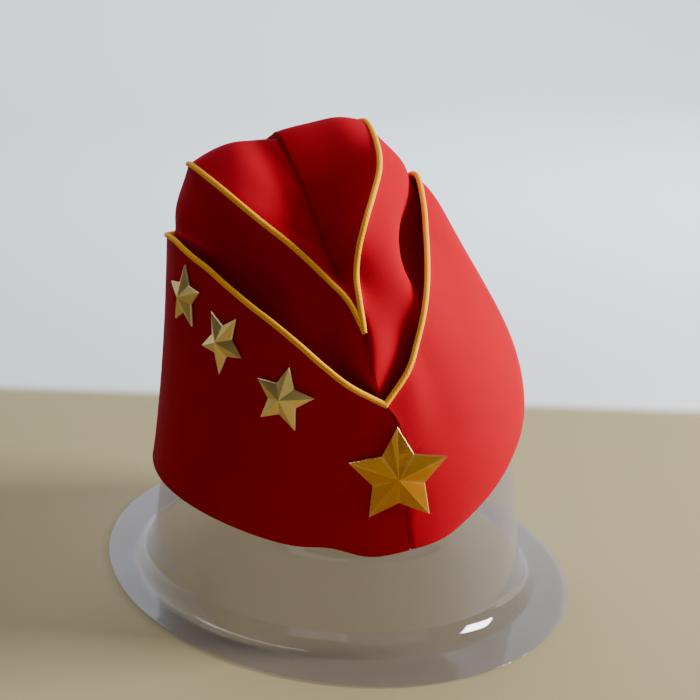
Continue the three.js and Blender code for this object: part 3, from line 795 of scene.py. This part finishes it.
standFace = standGrid()
upward = slope(standFace, 1)
normal = unit(np.cross(slope(standFace, 0, True), upward))
lip = np.linspace(0, np.pi, stand["lipSteps"] + 2)[None, 1:-1, None]
half = stand["wall"] / 2
lipWay = -unit(upward[:, :1])
lipGrid = standFace[:, :1] + half * (normal[:, :1] * np.cos(lip) + lipWay * np.sin(lip))
apex = np.broadcast_to(np.array([[[0, 0, standRings[-1, 0]]]]), (stand["round"], 1, 3))
grid = np.concatenate([
    apex + np.array([0, 0, half]), (standFace + normal * half)[:, ::-1], lipGrid,
    standFace - normal * half, apex - np.array([0, 0, half]),
], axis=1)
weave = np.zeros(grid.shape[:2] + (2,))
piece = pieceFromGrid("display_stand_sheet", grid * mm, weave, True, False, False)
dress(piece, "display_stand", clearSheet)
print("stand made")

# pale floor swept up behind, soft light from the right, and the camera at the photo's angle
studio = dict(
    floorHalf=4.0, floorFront=-3.0, sweepStart=1.0, sweepRadius=0.8, sweepSteps=24, wallHeight=3.0,
    floorDrop=0.0004, floorTurn=(0.329, 0.944), floorEnd=0.225, fadeHalf=0.012,
    floorColour=(0.33, 0.275, 0.14, 1), wallColour=(0.76, 0.83, 0.91, 1),
    skyColour=(0.72, 0.76, 0.82, 1), skyStrength=0.07,
    wash=((0.6, 0.5, 0.6), 0.6, 0.4, 7.0, (0.92, 0.97, 1.0)), washAt=(0.6, 1.4, 0.16),
)
# name, place, width, height, power and colour
lights = (
    ("window_key", (1.34, -0.38, 0.60), 0.60, 0.45, 62.0, (1.0, 0.98, 0.95)),
    ("soft_top", (0.0, 0.8, 1.8), 1.3, 1.3, 22.0, (0.96, 0.98, 1.0)),
    ("left_card", (-1.05, -1.20, 0.42), 1.0, 0.8, 1.6, (1.0, 0.99, 0.96)),
    ("front_card", (0.1, -1.75, 0.70), 2.0, 1.1, 2.2, (1.0, 0.99, 0.96)),
)


# the place and turn of a light that looks at a target
def aimed(place, target):
    back = unit(np.array(place, float) - np.array(target, float))
    right = unit(np.cross([0.0, 0, 1], back))
    up = np.cross(back, right)
    turn = Matrix(np.stack([right, up, back], -1).tolist()).to_4x4()
    return Matrix.Translation(place) @ turn


def areaLight(name, place, width, height, power, colour, target=(0, 0, 0.1)):
    lamp = bpy.data.lights.new(name, "AREA")
    lamp.shape = "RECTANGLE"
    lamp.size = width
    lamp.size_y = height
    lamp.energy = power
    lamp.color = colour
    holder = bpy.data.objects.new(name, lamp)
    bpy.context.scene.collection.objects.link(holder)
    holder.matrix_world = aimed(place, target)


for light in lights:
    areaLight(*light)
areaLight("back_wash", *studio["wash"], target=studio["washAt"])

world = bpy.data.worlds.new("studio")
world.use_nodes = True
sky = world.node_tree.nodes["Background"]
sky.inputs["Color"].default_value = studio["skyColour"]
sky.inputs["Strength"].default_value = studio["skyStrength"]
bpy.context.scene.world = world

# the floor's profile: flat, then a quarter circle, then an upright wall, drawn out sideways
arc = np.linspace(0, np.pi / 2, studio["sweepSteps"])
bendBack = studio["sweepStart"] + studio["sweepRadius"] * np.sin(arc)
bendUp = studio["sweepRadius"] * (1 - np.cos(arc))
profile = np.stack([
    np.concatenate([[studio["floorFront"]], bendBack, bendBack[-1:]]),
    np.concatenate([[0.0], bendUp, [studio["wallHeight"]]]) - studio["floorDrop"],
], -1)
ends = np.array([-studio["floorHalf"], studio["floorHalf"]])
grid = np.stack(np.broadcast_arrays(ends[:, None], profile[None, :, 0], profile[None, :, 1]), -1)
floorMesh = bpy.data.meshes.new("floor")
quads = gridQuads(2, len(profile), closedRows=False)
floorMesh.from_pydata(grid.reshape(-1, 3).tolist(), [], quads.tolist())
floorMesh.shade_smooth()
floor = bpy.data.objects.new("floor", floorMesh)
bpy.context.scene.collection.objects.link(floor)
floorPaint, flow = newMaterial("floorPaint")
spot = flow.make("ShaderNodeTexCoord", None, None, "Object")
grain = noise(flow, spot, 400.0, 3.0)
aside = flow.make("ShaderNodeSeparateXYZ", None, {0: spot}, "X")
behind = flow.make("ShaderNodeSeparateXYZ", None, {0: spot}, "Y")
backward = aside * studio["floorTurn"][0] + behind * studio["floorTurn"][1]
fade = flow.make("ShaderNodeMapRange", {"interpolation_type": "SMOOTHSTEP"}, {
    0: backward, 1: studio["floorEnd"] - studio["fadeHalf"], 2: studio["floorEnd"] + studio["fadeHalf"],
})
floorMesh.materials.append(finishMaterial(floorPaint, flow, {
    "Base Color": fade.tint(studio["floorColour"], studio["wallColour"]), "Roughness": 0.75 + grain * 0.1,
}))

view = dict(
    azimuth=-19.214, elevation=17.943, roll=2.0, focal=1996.0, frame=700.0,
    distance=900.0, aimRight=3.978, aimUp=101.958, sensor=36.0, near=0.01,
)
a, e, k = (math.radians(view[name]) for name in ("azimuth", "elevation", "roll"))
back = np.array([math.sin(a) * math.cos(e), -math.cos(a) * math.cos(e), math.sin(e)])
right = np.array([math.cos(a), math.sin(a), 0.0])
up = np.cross(back, right)
place = (right * view["aimRight"] + np.array([0, 0, view["aimUp"]]) + back * view["distance"]) * mm
rolledRight = right * math.cos(k) + up * math.sin(k)
rolledUp = up * math.cos(k) - right * math.sin(k)
turned = np.stack([rolledRight, rolledUp, back], -1)
lens = bpy.data.cameras.new("camera")
lens.sensor_width = view["sensor"]
lens.lens = view["focal"] / view["frame"] * lens.sensor_width
lens.clip_start = view["near"]
camera = bpy.data.objects.new("camera", lens)
bpy.context.scene.collection.objects.link(camera)
camera.matrix_world = Matrix.Translation(place.tolist()) @ Matrix(turned.tolist()).to_4x4()
bpy.context.scene.camera = camera
print("studio made")
